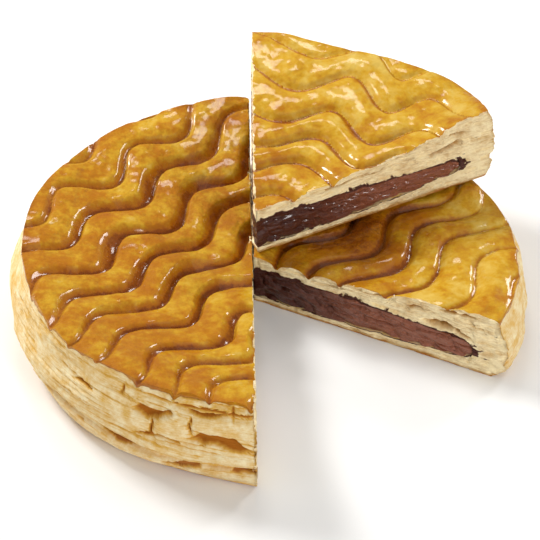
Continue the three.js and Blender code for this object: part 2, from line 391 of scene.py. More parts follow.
def divide(block, axis, count):
    """Divides every edge that runs along an axis into equal lengths."""
    while count > 1:
        step = max(n for n in range(2, MOST_CUTS + 2) if count % n == 0)
        ends = np.empty(len(block.data.edges) * 2, int)
        block.data.edges.foreach_get("vertices", ends)
        places = read_vectors(block.data.vertices, "co")
        run = np.abs(np.diff(places[ends.reshape(-1, 2)], axis=1))[:, 0]
        bpy.ops.object.mode_set(mode="EDIT")
        bpy.ops.mesh.select_mode(type="EDGE")
        bpy.ops.mesh.select_all(action="DESELECT")
        bpy.ops.object.mode_set(mode="OBJECT")
        block.data.edges.foreach_set("select", run[:, axis] == run.max(1))
        bpy.ops.object.mode_set(mode="EDIT")
        bpy.ops.mesh.subdivide(number_cuts=step - 1, quadcorner="STRAIGHT_CUT")
        bpy.ops.object.mode_set(mode="OBJECT")
        count //= step


def add_block(name, segments):
    """A cube one unit wide with a corner at the origin, its edges divided."""
    deselect_all()
    bpy.ops.mesh.primitive_cube_add(size=1, location=(0.5, 0.5, 0.5))
    block = bpy.context.active_object
    block.name = block.data.name = name
    bpy.ops.object.transform_apply(location=True, rotation=False, scale=False)
    for axis, count in enumerate(segments):
        divide(block, axis, count)
    return block


class Shares:
    """Each vertex's shares of the way out from the tip, round the sector and up the layer."""

    def __init__(self, sector, piece, rows, hidden):
        segments = (sector.rings, sector.columns, rows)
        self.block = add_block(f"{sector.name}_{piece}", segments)
        counts = np.array(segments)
        steps = np.round(read_vectors(self.block.data.vertices, "co") * counts)
        self.out, self.round, self.up = (steps / counts).T
        inner = self.out < NEARLY
        self.outer = self.out > 1 - NEARLY
        self.first = (self.round < NEARLY) & ~inner
        self.last = (self.round > 1 - NEARLY) & ~inner
        self.cut = self.first | self.last
        for face in hidden:
            self.thin(face, steps, counts)

    def thin(self, face, steps, counts):
        """Moves the inner vertices of a hidden face together, for the merging to thin it out."""
        on_face = self.up == face
        for axis in (0, 1):
            on_face &= (steps[:, axis] > 0) & (steps[:, axis] < counts[axis])
        for axis, shares in ((0, self.out), (1, self.round)):
            last = COARSE * (int(counts[axis] - 1) // COARSE)
            together = np.clip(np.round(steps[:, axis] / COARSE) * COARSE, COARSE, last)
            shares[on_face] = together[on_face] / counts[axis]

    def cut_faces(self):
        """Which faces of the block lie on the two cuts."""
        out, _, up = read_vectors(self.block.data.polygons, "center").T
        return (out < 1 - NEARLY) & (up > NEARLY) & (up < 1 - NEARLY)


def ray_length(sector, angle, radius):
    """How far rays from the sector's tip run until they are a radius away from the centre."""
    towards = sector.tip.x * np.cos(angle) + sector.tip.y * np.sin(angle)
    return -towards + np.sqrt(towards**2 - (sector.tip.x**2 + sector.tip.y**2) + radius**2)


def ray_ends(sector, angle, length):
    return sector.tip.x + length * np.cos(angle), sector.tip.y + length * np.sin(angle)


def reach(galette, sector, angle, z):
    """How far the side is from the sector's tip, along rays, at a height."""
    length = np.full_like(angle, galette.radius)
    for _ in range(5):
        x, y = ray_ends(sector, angle, length)
        length = ray_length(sector, angle, galette.side_radius(np.arctan2(y, x), z))
    return length


def lay_layer(galette, sector, shares, low, high):
    """The places of the block's vertices when it fills the sector between two heights, and
    their angles at the tip."""
    angle = sector.start + shares.round * (sector.end - sector.start)
    z_out = np.full_like(angle, SEAM_HEIGHT)
    for _ in range(3):
        x, y = ray_ends(sector, angle, reach(galette, sector, angle, z_out))
        z_low = low(x, y)
        z_out = z_low + shares.up * (high(x, y) - z_low)
    length = reach(galette, sector, angle, z_out)
    x, y = ray_ends(sector, angle, shares.out * length)
    z_low = low(x, y)
    return np.stack([x, y, z_low + shares.up * (high(x, y) - z_low)], 1), angle


def finish_piece(sector, shares, places, attributes, materials, layer):
    """Puts the places and attributes on the block, merges what has come together, hangs it under
    the root body and hides the model's part that it stands for. The last material goes on the cuts
    and the first on all the rest."""
    block = shares.block
    mesh = block.data
    slots = np.where(shares.cut_faces(), len(materials) - 1, 0)
    for key, values in attributes.items():
        vector = values.ndim == 2
        kind = "FLOAT_VECTOR" if vector else "FLOAT"
        made = mesh.attributes.new(key, kind, "POINT")
        made.data.foreach_set("vector" if vector else "value", values.astype(np.float32).ravel())
    place = np.array(sector.place)
    moved = places @ place[:3, :3].T + place[:3, 3]
    mesh.vertices.foreach_set("co", (moved * MM).astype(np.float32).ravel())
    for material in materials:
        mesh.materials.append(material)
    mesh.polygons.foreach_set("material_index", slots)
    mesh.update()
    bpy.ops.object.mode_set(mode="EDIT")
    bpy.ops.mesh.select_all(action="SELECT")
    bpy.ops.mesh.remove_doubles(threshold=MERGE_WITHIN)
    bpy.ops.object.mode_set(mode="OBJECT")
    bpy.ops.object.shade_smooth_by_angle(angle=SMOOTH_UNDER)
    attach(block, "root")
    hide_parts(f"{sector.name}_{layer}")
    return block


# ---- relief ----

# Overlapping sheets of the outer side: seed, thickness and depth of the step under each
SHEETS = [(31, 4.6, 1.6), (32, 2.1, 1.0)]
SIDE_PITS = [(24, 9, 6, 0.6), (25, 2.6, 1.8, 0.3)]  # seed, length, height and depth
SEAM_CREASE, SEAM_CREASE_DEPTH = 0.8, 0.9
MOST_PROUD = 0.2  # how far the side may stand out from its outline
# Where the side is torn the most: heading and reach
RAGGED_HEADING = 256
RAGGED_REACH = 34
# Tears in the outer side: heading, height, half-length, half-height and depth
TEARS = [
    (244.5, 34, 9, 2.6, 3.4), (259.5, 25, 14, 2.9, 3.0), (252, 8.8, 10, 1.5, 2.4),
    (256, 39.5, 9, 0.9, 2.6), (246, 21, 11, 0.6, 1.6), (228, 31, 7, 0.7, 1.4),
    (222, 15, 13, 0.6, 1.4), (237, 13, 12, 0.7, 1.6), (205, 12, 10, 0.6, 1.2),
    (266, 10, 9, 0.9, 2), (300, 20, 9, 1.2, 2.4), (330, 14, 12, 0.9, 2), (12, 22, 10, 0.9, 2),
    (40, 26, 12, 1.0, 2.2), (75, 20, 10, 1.1, 2.4), (110, 27, 12, 1.2, 2.6),
    (135, 18, 13, 0.9, 2.2), (160, 29, 10, 1.0, 2.2), (185, 12, 12, 0.7, 1.4),
]
# Smooth blisters in the outer side: heading, height, half-length, half-height and swelling
BLISTERS = [
    (249.2, 27.5, 8, 6.5, 2.2), (258, 33, 11, 4, 1.8), (261, 17, 12, 4.5, 1.6),
    (239.5, 27, 9, 6, 1.5), (214, 33, 14, 6, 0.8), (120, 33, 12, 6, 1.0), (60, 18, 14, 6, 0.9),
    (20, 16, 12, 5, 0.9),
]
# Upright cracks in the outer side: heading, lowest and highest height, and depth
CRACKS = [
    (245.2, 18, 33, 1.6), (252.9, 24, 39, 1.6), (238, 34, 44, 1.2), (262, 36, 46, 1.1),
    (26, 20, 34, 1.5), (95, 22, 42, 1.5), (148, 26, 44, 1.5), (312, 12, 26, 1.5),
]
CRACK_END = 5  # the length over which a crack closes

# The faces that the knife cut
LEAF_THICKNESS = 1.25
STANDS_OUT = 0.5  # the most that a leaf stands out from the plane of a cut
# How strongly painted shade darkens the gaps between the cut leaves
PAINTED_GAP_SHADE = 0.6
TOP_CUT_DEPTH, BASE_CUT_DEPTH = 1.1, 0.8
# Air pockets that a cut opened: sector, which cut, distance from the tip, height, half-length,
# half-height, depth and climb towards the rim
POCKETS = [
    ("slice", "first", 97, 26.5, 9.5, 2.2, 6, 0.25), ("slice", "first", 103, 34.5, 5, 1.2, 4, -0.2),
    ("slice", "first", 60, 27.2, 7, 0.5, 1.5, 0.05), ("slice", "last", 88, 24, 10, 1.6, 5, 0.1),
    ("third", "first", 96, 21.5, 9.5, 2.1, 6, 0.0), ("third", "first", 108, 19.5, 4, 1.1, 4, -0.1),
    ("third", "first", 64, 27.5, 8, 0.5, 1.6, 0.08), ("third", "last", 90, 24, 11, 1.8, 5, 0.1),
    ("third", "first", 82, 27, 12, 0.7, 2.2, 0.12),
    ("third", "first", 40, 24.5, 12, 0.45, 1.6, 0.06),
    ("third", "first", 104, 31, 9, 0.8, 2, 0.1), ("third", "first", 90, 3.2, 16, 0.4, 1.4, 0.02),
    ("slice", "first", 78, 32, 12, 0.7, 2, 0.25), ("slice", "first", 40, 26, 10, 0.5, 1.6, 0.1),
    ("half", "first", 95, 25, 12, 2.2, 6, 0.1), ("half", "first", 60, 26, 8, 1, 3, 0.1),
    ("half", "last", 96, 27, 12, 2.4, 6, 0.1), ("half", "last", 104, 35, 7, 1.4, 4, 0.0),
]


def near_heading(galette, heading, middle):
    """How far round the side places lie from a heading given in degrees."""
    return galette.radius * np.radians((np.degrees(heading) - middle + 180) % 360 - 180)


def side_relief(galette, sector, places):
    """How far the flaky side lies behind its outline, how much browner or paler it is coloured, and
    the coordinates along and across its layers. Browner is real browning where it is ragged and
    partly in the tears, and painted shade under the lips of the sheets, in the tears and in the
    cracks; paler is a painted highlight on the blisters."""
    x, y, z = places.T
    heading = sector.heading(x, y)
    along = galette.radius * heading
    across = z + 1.6 * noise(21, along / 41, z / 30) + 0.6 * noise(22, along / 12, z / 9)
    ragged = np.exp(-((near_heading(galette, heading, RAGGED_HEADING) / RAGGED_REACH) ** 2))
    swollen, cover = 0.0, 0.0
    for middle, height, half_length, half_height, swell in BLISTERS:
        away = near_heading(galette, heading, middle)
        inside = np.hypot(away / half_length, (z - height) / half_height)
        inside = inside * (1 + 0.2 * noise(28, along / 5, z / 4))
        swollen = swollen + swell * (1 - smoothstep(inside, 0, 1.1))
        # The blister cover also paints a highlight: the blisters are coloured paler
        cover = np.maximum(cover, 1 - smoothstep(inside, 0.7, 1.1))
    layered = 0.4 + ragged + 0.8 * smoothstep(z, 26, 10) + 0.4 * noise(23, along / 30)
    layered = np.clip(layered, 0, 1) * (1 - 0.85 * cover)
    relief, painted_lip_shade = 0.0, 0.0
    for seed, thickness, depth in SHEETS:
        number = np.floor(across / thickness)
        into = across / thickness - number
        proud = layered * smoothstep(noise(seed, along / 16, number * 7.3), -0.7, 0.8)
        relief = relief + depth * proud * into**1.4
        # Painted shade in the band under the lip of the sheet above
        painted_lip_shade = painted_lip_shade + depth * proud * smoothstep(into, 0.68, 0.95)
    for seed, length, height, depth in SIDE_PITS:
        relief = relief + depth * (noise(seed, along / length, z / height) * 0.5 + 0.5)
    from_seam = (z - galette.seam(x, y)) / SEAM_CREASE
    relief = relief + SEAM_CREASE_DEPTH * np.exp(-(from_seam**2)) - swollen
    # Painted shade under the lips of the sheets; the blisters are coloured paler as a painted
    # highlight
    baking = 0.62 * painted_lip_shade + 0.1 * ragged - 0.1 - 0.3 * cover
    frayed = 1 + 0.35 * noise(26, along / 3.5, z / 3)
    for middle, height, half_length, half_height, depth in TEARS:
        away = near_heading(galette, heading, middle)
        drop = height + 0.12 * half_length * np.sin(away / half_length * 2 + middle)
        inside = np.hypot(away / half_length, (z - drop) / half_height) * frayed
        hole = 1 - smoothstep(inside, 0.65, 1.05)
        relief = relief + depth * hole
        # Tears are coloured browner: partly browning, partly painted shade inside them
        baking = np.maximum(baking, hole)
    for middle, low, high, depth in CRACKS:
        away = near_heading(galette, heading, middle) + 1.4 * noise(27, z / 5 + middle)
        run = smoothstep(z, low, low + CRACK_END) * (1 - smoothstep(z, high - CRACK_END, high))
        crack = run * (1 - smoothstep(np.abs(away), 0, 0.4 + 0.7 * run))
        relief = relief + depth * crack
        # Painted shade in the cracks
        baking = np.maximum(baking, crack)
    return np.maximum(relief, -MOST_PROUD), baking, along, across


def sink_side(places, relief):
    """Moves places towards the galette's centre."""
    heading = np.arctan2(places[:, 1], places[:, 0])
    places[:, 0] -= relief * np.cos(heading)
    places[:, 1] -= relief * np.sin(heading)


def sink_cut(places, angle, inward):
    """Moves places round the tip, away from the first cut where inward is positive."""
    places[:, 0] -= inward * np.sin(angle)
    places[:, 1] += inward * np.cos(angle)


def leaning(sector, shares, out, z):
    """How far out the last cut stands at a height, where the knife leaned over."""
    lean = sector.lean * np.clip(1 - z / LEAN_HEIGHT, 0, 1) * smoothstep(out, 0, 6)
    return np.where(shares.last, lean, 0)


def cut_relief(out, across, seed, depth):
    """How far a cut face lies behind its plane, from its thin layers and its crumbs, and how
    open the gaps between the layers are."""
    warp = 0.8 * noise(seed, out / 17, across / 9) + 0.3 * noise(seed + 1, out / 5, across / 3)
    layers = (across + warp) / LEAF_THICKNESS
    into = layers - np.floor(layers)
    crease = (1 - np.sqrt(np.clip(4 * into * (1 - into), 0, 1))) ** 1.5
    gap = noise(seed + 2, out / 9, np.floor(layers) * 5.1) * 0.5 + 0.5
    crumbs = noise(seed + 3, out / 1.6, across / 0.8) * 0.5 + 0.5
    broken = smoothstep(noise(seed + 4, out / 6, np.floor(layers / 1.5) * 3.3), -0.1, 0.4)
    behind = depth * (crease * gap * 1.6 + 0.5 * crumbs + 1.1 * broken) - STANDS_OUT
    return behind, crease * gap


def carve_cuts(sector, shares, places, angle, seed, depth, pockets=()):
    """Sets the layers and air pockets into both cut faces. Returns the painted shade in the gaps
    between the leaves and inside the air pockets, and how far out along the cut each vertex is."""
    out = np.hypot(places[:, 0] - sector.tip.x, places[:, 1] - sector.tip.y)
    z = places[:, 2]
    painted_gap_shade = np.zeros_like(out)
    cuts = (("first", shares.first, 1, seed), ("last", shares.last, -1, seed + 5))
    for name, face, inward, face_seed in cuts:
        into, gaps = cut_relief(out, z, face_seed, depth)
        # Painted shade in the gaps between the leaves
        painted_gap_shade = np.where(face, PAINTED_GAP_SHADE * gaps, painted_gap_shade)
        for who, which, middle, height, half_length, half_height, hole, climb in pockets:
            if (who, which) != (sector.name, name):
                continue
            line = height + climb * (out - middle)
            ragged = 1 + 0.25 * noise(seed + 9, out / 3, z / 2)
            inside = np.hypot((out - middle) / half_length, (z - line) / half_height) * ragged
            opened = 1 - smoothstep(inside, 0.55, 1.05)
            into = into + hole * opened
            # Painted shade inside the air pocket
            painted_gap_shade = np.where(face, np.maximum(painted_gap_shade, opened), painted_gap_shade)
        into = into * smoothstep(out, 0, 3) * smoothstep(z, -0.6, 2) * face
        if name == "last":
            into = into - leaning(sector, shares, out, z)
        sink_cut(places, angle, inward * into)
    return painted_gap_shade, out


# ---- materials ----


def cells(size_mm):
    """The scale that gives a pattern cells of a size, such as 10 / 13 for 13 in 10 mm."""
    return 1 / (size_mm * MM)


def node(tree, kind, inputs=None, stops=(), gives=0, **settings):
    """Adds a node with its settings, and gives one of its outputs. An input given as another
    node's output is linked."""
    made = tree.nodes.new("ShaderNode" + kind)
    for key, value in settings.items():
        setattr(made, key, value)
    for key, value in (inputs or {}).items():
        if isinstance(value, bpy.types.NodeSocket):
            tree.links.new(value, made.inputs[key])
        else:
            made.inputs[key].default_value = value
    if stops:
        ramp = made.color_ramp
        while len(ramp.elements) < len(stops):
            ramp.elements.new(0.5)
        for element, (position, colour) in zip(ramp.elements, stops):
            element.position, element.color = position, colour
    return made.outputs[gives] if made.outputs else None


def new_material(name, places=(), amounts=()):
    """A material, its tree, and the outputs of the attributes that it reads."""
    material = bpy.data.materials.new(name)
    material.use_nodes = True
    tree = material.node_tree
    tree.nodes.clear()
    gives = [(key, "Vector") for key in places] + [(key, "Fac") for key in amounts]
    read = [node(tree, "Attribute", attribute_name=key, gives=output) for key, output in gives]
    return material, tree, *read


def glazed_pastry(colours):
    """Puff pastry brushed twice with egg yolk and baked: the wash dries to a hard clear gloss
    that is gold on the crests and caramel in the lines, and stops short of the bare side."""
    material, tree, place, layers, browning, glaze, baking = new_material(
        "Egg-washed puff pastry", ("baked_at", "layers"), ("browning", "glaze", "baking")
    )

    # Patches about 13 mm wide where the oven browned the wash more, and 3 mm mottling
    patches = node(
        tree, "TexNoise", {"Vector": place, "Scale": cells(40 / 3), "Detail": 5, "Roughness": 0.62}
    )
    mottle = node(
        tree, "TexNoise", {"Vector": place, "Scale": cells(100 / 33), "Detail": 3, "Roughness": 0.6}
    )
    # The browning also holds the painted shade of the slice's shadow on the third
    bake = node(tree, "Math", {0: patches, 1: 1.6, 2: browning}, operation="MULTIPLY_ADD")
    bake = node(tree, "Math", {0: mottle, 1: 0.5, 2: bake}, operation="MULTIPLY_ADD")
    bake = node(tree, "Math", {0: bake, 1: 0.66}, operation="SUBTRACT")
    stops = [
        (0.0, colours.straw), (0.26, colours.gold), (0.56, colours.amber),
        (0.84, colours.caramel), (1.0, colours.burnt),
    ]
    washed = node(tree, "ValToRGB", {"Fac": bake}, stops=stops)

    # The brush left an uneven edge where the bare side starts
    bare = bare_pastry_colour(tree, colours, place, layers, baking)
    edge = node(tree, "Math", {0: mottle, 1: 0.5, 2: glaze}, operation="MULTIPLY_ADD")
    mask = node(
        tree,
        "MapRange",
        {"Value": edge, "From Min": 0.68, "From Max": 0.82},
        interpolation_type="SMOOTHSTEP",
    )
    colour = node(tree, "Mix", {0: mask, 6: bare, 7: washed}, data_type="RGBA", gives=2)
    roughness = node(tree, "MapRange", {"Value": mask, "To Min": 0.72, "To Max": 0.42})
    coat = node(tree, "MapRange", {"Value": mask, "To Min": 0.0, "To Max": 0.62})

    # The wash dries in wrinkles 2 mm apart over bubbles 6 mm apart, and more where it browned
    wrinkles = node(
        tree, "TexNoise", {"Vector": place, "Scale": cells(25 / 12), "Detail": 4, "Roughness": 0.55}
    )
    bubbles = node(tree, "TexNoise", {"Vector": place, "Scale": cells(100 / 17), "Detail": 2})
    crinkled = node(tree, "Math", {0: browning, 1: 3.0, 2: 0.6}, operation="MULTIPLY_ADD")
    wrinkles = node(tree, "Math", {0: wrinkles, 1: crinkled}, operation="MULTIPLY")
    height = node(tree, "Math", {0: bubbles, 1: 2.2, 2: wrinkles}, operation="MULTIPLY_ADD")
    height = node(
        tree, "Mix", {0: mask, 2: bare_leaves(tree, layers), 3: height}, data_type="FLOAT"
    )
    bump = node(tree, "Bump", {"Height": height, "Strength": 0.8, "Distance": 0.0007})
    # The wash gives the highlights as a coat, and the pastry under it hardly shines
    pastry = {"Base Color": colour, "Roughness": roughness, "IOR": 1.45, "Normal": bump}
    wash = {"Coat Weight": coat, "Coat Roughness": 0.12, "Coat IOR": 1.5}
    shader = node(tree, "BsdfPrincipled", {**pastry, "Specular IOR Level": 0.06, **wash})
    node(tree, "OutputMaterial", {"Surface": shader})
    return material


def bare_leaves(tree, layers):
    """The height of the leaves of unwashed puff pastry, one every 0.8 mm."""
    return node(
        tree, "TexNoise", {"Vector": layers, "Scale": cells(10 / 13), "Detail": 4, "Roughness": 0.6}
    )


def bare_pastry_colour(tree, colours, place, layers, baking):
    """The colour of unwashed puff pastry: pale and golden leaves, browned in its tears, with
    painted shade in its tears, its cracks and under the lips of its sheets, and a painted highlight
    on its blisters.
    """
    # Leaves run round the side, about 0.5 mm thick, over clouds 8 mm across
    leaves = node(
        tree, "TexNoise", {"Vector": layers, "Scale": cells(10 / 21), "Detail": 3, "Roughness": 0.6}
    )
    clouds = node(
        tree, "TexNoise", {"Vector": place, "Scale": cells(100 / 13), "Detail": 5, "Roughness": 0.7}
    )
    tone = node(tree, "Math", {0: leaves, 1: 0.45, 2: clouds}, operation="MULTIPLY_ADD")
    tone = node(tree, "Math", {0: tone, 1: 1.1, 2: -0.42}, operation="MULTIPLY_ADD")
    # Adds the browning, the painted shade and the painted highlight of the side, and the browned
    # foot
    tone = node(tree, "Math", {0: baking, 1: 0.85, 2: tone}, operation="MULTIPLY_ADD")
    stops = [(0.15, colours.pale), (0.6, colours.baked), (1.0, colours.brown_and_painted_shade)]
    return node(tree, "ValToRGB", {"Fac": tone}, stops=stops)


def bare_pastry(colours):
    """Puff pastry baked without a wash: dry, leafy and dull, pale gold to browned, with painted
    shade in its tears, cracks and under the lips of its sheets, and a painted highlight on its
    blisters.
    """
    material, tree, place, layers, baking = new_material(
        "Bare puff pastry", ("baked_at", "layers"), ("baking",)
    )
    colour = bare_pastry_colour(tree, colours, place, layers, baking)
    leaves = bare_leaves(tree, layers)
    bump = node(tree, "Bump", {"Height": leaves, "Strength": 0.8, "Distance": 0.0006})
    dry = {"Base Color": colour, "Roughness": 0.72, "IOR": 1.45, "Normal": bump}
    node(tree, "OutputMaterial", {"Surface": node(tree, "BsdfPrincipled", dry)})
    return material


def cut_pastry(colours):
    """Puff pastry where the knife went through: many thin moist leaves, cream, with painted shade
    in the gaps and air pockets between them."""
    material, tree, place, layers, stain, baking = new_material(
        "Cut puff pastry", ("baked_at", "layers"), ("stain", "baking")
    )

    # Leaves 1.25 mm apart, over clouds 9 mm across
    leaves = node(
        tree, "TexNoise", {"Vector": layers, "Scale": cells(10 / 8), "Detail": 5, "Roughness": 0.7}
    )
    clouds = node(tree, "TexNoise", {"Vector": place, "Scale": cells(100 / 11), "Detail": 3})
    tone = node(tree, "Math", {0: clouds, 1: 0.7, 2: leaves}, operation="MULTIPLY_ADD")
    tone = node(tree, "Math", {0: tone, 1: 0.46}, operation="SUBTRACT")
    # Painted shade in the gaps and air pockets, with real browning beside the outer side and at the
    # foot
    tone = node(tree, "Math", {0: baking, 1: 0.6, 2: tone}, operation="MULTIPLY_ADD")
    stops = [(0.35, colours.crumb), (0.8, colours.darker_crumb_and_painted_shade), (1.0, colours.brown_and_painted_shade)]
    colour = node(tree, "ValToRGB", {"Fac": tone}, stops=stops)

    # Crumbs 1.4 mm across, which also fray the edge of the chocolate that the knife dragged
    crumbs = node(tree, "TexNoise", {"Vector": place, "Scale": cells(10 / 7), "Detail": 2})
    stained = node(tree, "Math", {0: crumbs, 1: 0.9, 2: stain}, operation="MULTIPLY_ADD")
    stained = node(
        tree,
        "MapRange",
        {"Value": stained, "From Min": 0.82, "From Max": 1.02},
        interpolation_type="SMOOTHSTEP",
    )
    colour = node(
        tree, "Mix", {0: stained, 6: colour, 7: colours.dark_chocolate}, data_type="RGBA", gives=2
    )
    height = node(tree, "Math", {0: crumbs, 1: 0.8, 2: leaves}, operation="MULTIPLY_ADD")
    bump = node(tree, "Bump", {"Height": height, "Strength": 1.0, "Distance": 0.0008})
    crumb = {"Base Color": colour, "Roughness": 0.6, "IOR": 1.45, "Normal": bump}
    node(tree, "OutputMaterial", {"Surface": node(tree, "BsdfPrincipled", crumb)})
    return material


def chocolate(colours):
    """A soft chocolate filling dragged by the knife: smeared, half shiny, and milkier where
    it is thin near the rim."""
    material, tree, place, layers, milk = new_material(
        "Chocolate cream", ("baked_at", "layers"), ("milkiness",)
    )

    # Streaks 2.4 mm high and four times as long, with 1.7 mm grain
    streaks = node(
        tree,
        "TexNoise",
        {"Vector": layers, "Scale": cells(50 / 21), "Detail": 5, "Roughness": 0.65},
    )
    grain = node(tree, "TexNoise", {"Vector": place, "Scale": cells(10 / 6), "Detail": 3})
    tone = node(tree, "Math", {0: streaks, 1: 0.9, 2: milk}, operation="MULTIPLY_ADD")
    tone = node(tree, "Math", {0: tone, 1: 0.45}, operation="SUBTRACT")
    stops = [(0.0, colours.dark_chocolate), (1.0, colours.milk_chocolate)]
    colour = node(tree, "ValToRGB", {"Fac": tone}, stops=stops)
    height = node(tree, "Math", {0: streaks, 1: 2.0, 2: grain}, operation="MULTIPLY_ADD")
    bump = node(tree, "Bump", {"Height": height, "Strength": 1.0, "Distance": 0.0014})
    # The cocoa butter in it gives a soft shine under a wetter one
    cream = {"Base Color": colour, "Roughness": 0.34, "IOR": 1.47, "Normal": bump}
    wet = {"Specular IOR Level": 0.3, "Coat Weight": 0.6, "Coat Roughness": 0.12}
    node(tree, "OutputMaterial", {"Surface": node(tree, "BsdfPrincipled", {**cream, **wet})})
    return material


def material_of(maker, colours):
    """The material that a maker makes, made once."""
    made = {m.get("maker"): m for m in bpy.data.materials}.get(maker.__name__)
    if made is None:
        made = maker(colours)
        made["maker"] = maker.__name__
    return made


# ---- the pieces ----

# Where the oven browned the wash more, or less, and where the slice's shadow falls on the third as
# painted shade: place, reach and amount
BROWNED_AND_SHADED_PATCHES = [
    (-75, 0, 70, 0.12), (-60, -100, 45, 0.17), (55, -85, 55, -0.22), (90, 10, 45, -0.14),
    # Painted shade: the slice's shadow on the top of the third
    (42, 22, 32, 0.6),
]
BROWNED_LINES, BURNT_LINES = 0.5, 0.12  # more down the slopes of the lines, and in them
BROWNED_RIM, BROWNED_RIM_WIDTH = 0.16, 6
CRUST, CRUST_WIDTH = 0.5, 2.5  # how much browner a cut face is beside the outer side
FOOT, FOOT_HEIGHT = 0.9, 2.5  # how much browner the pastry is where it stood on the tray
TRAY_DENTS = 0.35
# How much of its length a pattern keeps along the layers, so that the leaves run long
SIDE_STRETCH, CUT_STRETCH, CREAM_STRETCH = 0.12, 0.22, 0.25
PASTRY_ROWS = 64
BASE_ROWS = 24
FILLING_ROWS = 36
FILLING_INSET = 0.02  # keeps its edge off the radius where it has no height


def layer_vectors(along, across, stretch):
    """Coordinates along and across layers, in metres, for their patterns."""
    return np.stack([along * stretch, across, np.zeros_like(across)], 1) * MM


def leaf_vectors(shares, along, across, out, z):
    """The layers' coordinates, which run round the side and along the cuts."""
    side = layer_vectors(along, across, SIDE_STRETCH)
    cut = layer_vectors(out, z, CUT_STRETCH)
    return np.where(shares.cut[:, None], cut, side)


def crust(galette, shares):
    """How much browner a cut face is beside the outer side."""
    return CRUST * (1 - smoothstep((1 - shares.out) * galette.radius, 0, CRUST_WIDTH))


def browned(galette, shares, x, y, opened):
    """How much more the oven browned the wash in the lines, at the rim and in patches, and the
    painted shade of the slice's shadow on the third.
    """
    near_middle = 1 - smoothstep(np.hypot(x, y), 60, 150)
    browning = BROWNED_LINES * smoothstep(opened, 0.05, 0.85) * near_middle
    browning = browning + BURNT_LINES * smoothstep(opened, 0.7, 1)
    from_edge = (1 - shares.out) * galette.radius
    browning = browning + BROWNED_RIM * (1 - smoothstep(from_edge, 0.5, BROWNED_RIM_WIDTH))
    for patch_x, patch_y, patch_reach, amount in BROWNED_AND_SHADED_PATCHES:
        away = np.hypot(x - patch_x, y - patch_y) / patch_reach
        browning = browning + amount * np.exp(-(away**2))
    return browning


def add_top_pastry(sector, galette, colours):
    shares = Shares(sector, "glazed_top", PASTRY_ROWS, hidden=[0])

    def low(x, y):
        _, room, over = galette.filling(x, y, sector.filling)
        return np.where(over, room, galette.seam(x, y))

    def high(x, y):
        return galette.top(x, y, sector.width_factor)

    places, angle = lay_layer(galette, sector, shares, low, high)
    baked = places.copy()
    x, y, z = baked.T
    relief, baking, along, across = side_relief(galette, sector, baked)
    fade = np.where(shares.outer, 1 - smoothstep(shares.up, 0.93, 1) * 0.6, 0)
    sink_side(places, relief * fade)
    painted_gap_shade, out = carve_cuts(sector, shares, places, angle, 40, TOP_CUT_DEPTH, POCKETS)

    _, opened = galette.groove(x, y, sector.width_factor)
    runs = 1.3 + 0.7 * noise(51, along / 9) + 0.5 * noise(52, along / 2.5)
    glaze = np.where(shares.outer, 0.95 - 0.45 * (high(x, y) - z) / runs, 1.0)
    room = low(x, y)
    smudge = 1.7 + 1.2 * noise(53, out / 7) + 0.6 * noise(54, out / 2)
    stain = np.clip(1 - (z - room) / np.maximum(smudge, 0.3), 0, 1) * (room > SEAM_HEIGHT + 3)
    stain = np.maximum(stain, dragged(galette, sector, baked))
    attributes = {
        "baked_at": baked * MM,
        "layers": leaf_vectors(shares, along, across, out, z),
        # Browning, with painted shade where the slice's shadow falls on the third
        "browning": browned(galette, shares, x, y, opened),
        "glaze": glaze,
        # On the cuts: painted shade in the gaps and pockets, plus the browned crust
        "baking": np.where(shares.cut, painted_gap_shade + crust(galette, shares), baking * shares.outer),
        "stain": np.where(shares.cut, stain, 0),
    }
    materials = [material_of(glazed_pastry, colours), material_of(cut_pastry, colours)]
    piece = finish_piece(sector, shares, places, attributes, materials, "top_pastry")
    return piece


def add_bottom_pastry(sector, galette, colours):
    shares = Shares(sector, "bottom_crust", BASE_ROWS, hidden=[0, 1])

    def low(x, y):
        inside = np.hypot(x, y) < 0.9 * galette.radius
        return TRAY_DENTS * (noise(61, x / 14, y / 14) * 0.5 + 0.5) * inside

    def high(x, y):
        room, _, over = galette.filling(x, y, sector.filling)
        return np.where(over, room, galette.seam(x, y))

    places, angle = lay_layer(galette, sector, shares, low, high)
    baked = places.copy()
    x, y, z = baked.T
    relief, baking, along, across = side_relief(galette, sector, baked)
    sink_side(places, np.where(shares.outer, relief, 0) * smoothstep(z, -1, 2.5))
    painted_gap_shade, out = carve_cuts(sector, shares, places, angle, 70, BASE_CUT_DEPTH)

    room = high(x, y)
    stain = (1 - smoothstep(room - z, 0, 0.9)) * (room < SEAM_HEIGHT - 1)
    stain = np.maximum(stain, dragged(galette, sector, baked))
    foot = FOOT * (1 - smoothstep(z, 0, FOOT_HEIGHT))
    # The foot and the crust are browning; the gaps and pockets get painted shade
    cut_baking_and_painted_shade = foot + painted_gap_shade + crust(galette, shares)
    attributes = {
        "baked_at": baked * MM,
        "layers": leaf_vectors(shares, along, across, out, z),
        "baking": np.where(shares.outer, np.maximum(baking, foot), cut_baking_and_painted_shade),
        "stain": np.where(shares.cut, stain, 0),
    }
    materials = [material_of(bare_pastry, colours), material_of(cut_pastry, colours)]
    piece = finish_piece(sector, shares, places, attributes, materials, "bottom_pastry")
    return piece


